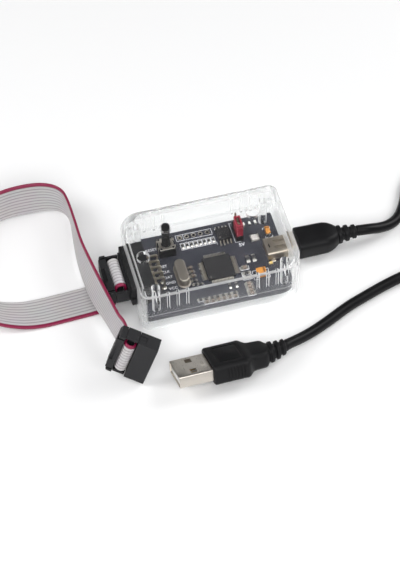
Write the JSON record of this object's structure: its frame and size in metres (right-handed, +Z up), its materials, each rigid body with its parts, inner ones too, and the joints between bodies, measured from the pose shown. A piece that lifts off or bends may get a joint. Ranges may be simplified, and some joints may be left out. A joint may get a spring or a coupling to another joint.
{
  "type": "usb microcontroller programmer",
  "caption": "Clear-cased USB programmer for microcontrollers, with a box header, ribbon lead, USB lead, reset button and voltage jumper.",
  "frame": {"origin": "middle of the underside of the case", "axes": "+X along the case to the end with the USB socket, +Y to the back, +Z up through the lid"},
  "size_m": [0.2274, 0.0999, 0.0216],
  "materials": {
    "clear_plastic": "clear, polished",
    "solder_mask": "dark satin lacquer",
    "nickel_steel": "nickel plated",
    "chip_epoxy": "matt epoxy",
    "amber_epoxy": "matt",
    "pale_plastic": "satin",
    "gold_plate": "gold plated",
    "red_plastic": "satin",
    "socket_plastic": "fine matt",
    "grey_pvc": "satin PVC",
    "soft_black": "satin PVC",
    "black_plastic": "fine matt"
  },
  "bodies": {
    "programmer": {"case_bottom": "clear_plastic", "circuit_board": "solder_mask", "crystal_can": "nickel_steel", "header_pin_1": "nickel_steel", "header_pin_10": "nickel_steel", "header_pin_2": "nickel_steel", "header_pin_3": "nickel_steel", "header_pin_4": "nickel_steel", "header_pin_5": "nickel_steel", "header_pin_6": "nickel_steel", "header_pin_7": "nickel_steel", "header_pin_8": "nickel_steel", "header_pin_9": "nickel_steel", "header_shroud": "black_plastic", "interface_chip": "chip_epoxy", "jumper_header_base": "black_plastic", "jumper_header_pin_1": "nickel_steel", "jumper_header_pin_2": "nickel_steel", "jumper_header_pin_3": "nickel_steel", "microcontroller": "chip_epoxy", "mini_usb_socket_shell": "nickel_steel", "mini_usb_socket_tongue": "black_plastic", "power_led": "gold_plate", "reset_switch_base": "black_plastic", "reset_switch_dome": "nickel_steel", "reset_switch_plate": "nickel_steel", "resettable_fuse": "pale_plastic", "status_led_1": "pale_plastic", "status_led_2": "pale_plastic", "status_led_3": "pale_plastic", "tantalum_capacitor_1": "amber_epoxy", "tantalum_capacitor_2": "amber_epoxy"},
    "lid": {"case_top": "clear_plastic"},
    "reset_button": {"reset_button": "black_plastic"},
    "jumper": {"voltage_jumper": "red_plastic"},
    "ribbon_lead": {"ribbon_cable": "grey_pvc", "socket_a_body": "socket_plastic", "socket_a_cover": "socket_plastic", "socket_a_strain_relief": "socket_plastic", "socket_b_body": "socket_plastic", "socket_b_cover": "socket_plastic", "socket_b_strain_relief": "socket_plastic"},
    "usb_lead": {"mini_plug_grip": "soft_black", "mini_plug_shell": "nickel_steel", "usb_a_contact_1": "gold_plate", "usb_a_contact_2": "gold_plate", "usb_a_contact_3": "gold_plate", "usb_a_contact_4": "gold_plate", "usb_a_grip": "soft_black", "usb_a_insert": "pale_plastic", "usb_a_shell": "nickel_steel", "usb_cable_coil": "soft_black", "usb_cable_to_coil": "soft_black", "usb_cable_to_plug": "soft_black"}
  },
  "joints": [
    {"name": "lid_lift", "type": "slide", "parent": "programmer", "child": "lid", "axis": [0, 0, 1], "range_m": [0, 0.02]},
    {"name": "reset_press", "type": "slide", "parent": "programmer", "child": "reset_button", "axis": [0, 0, -1], "range_m": [0, 0.00025], "stiffness_N_per_m": 2000, "deforming": ["reset_switch_dome"]},
    {"name": "jumper_pull", "type": "slide", "parent": "programmer", "child": "jumper", "axis": [0, 0, 1], "range_m": [0, 0.0025]},
    {"name": "ribbon_socket_pull", "type": "slide", "parent": "programmer", "child": "ribbon_lead", "axis": [-1, 0, 0], "range_m": [0, 0.0075]},
    {"name": "usb_plug_pull", "type": "slide", "parent": "programmer", "child": "usb_lead", "axis": [1, 0, 0], "range_m": [0, 0.008]}
  ]
}
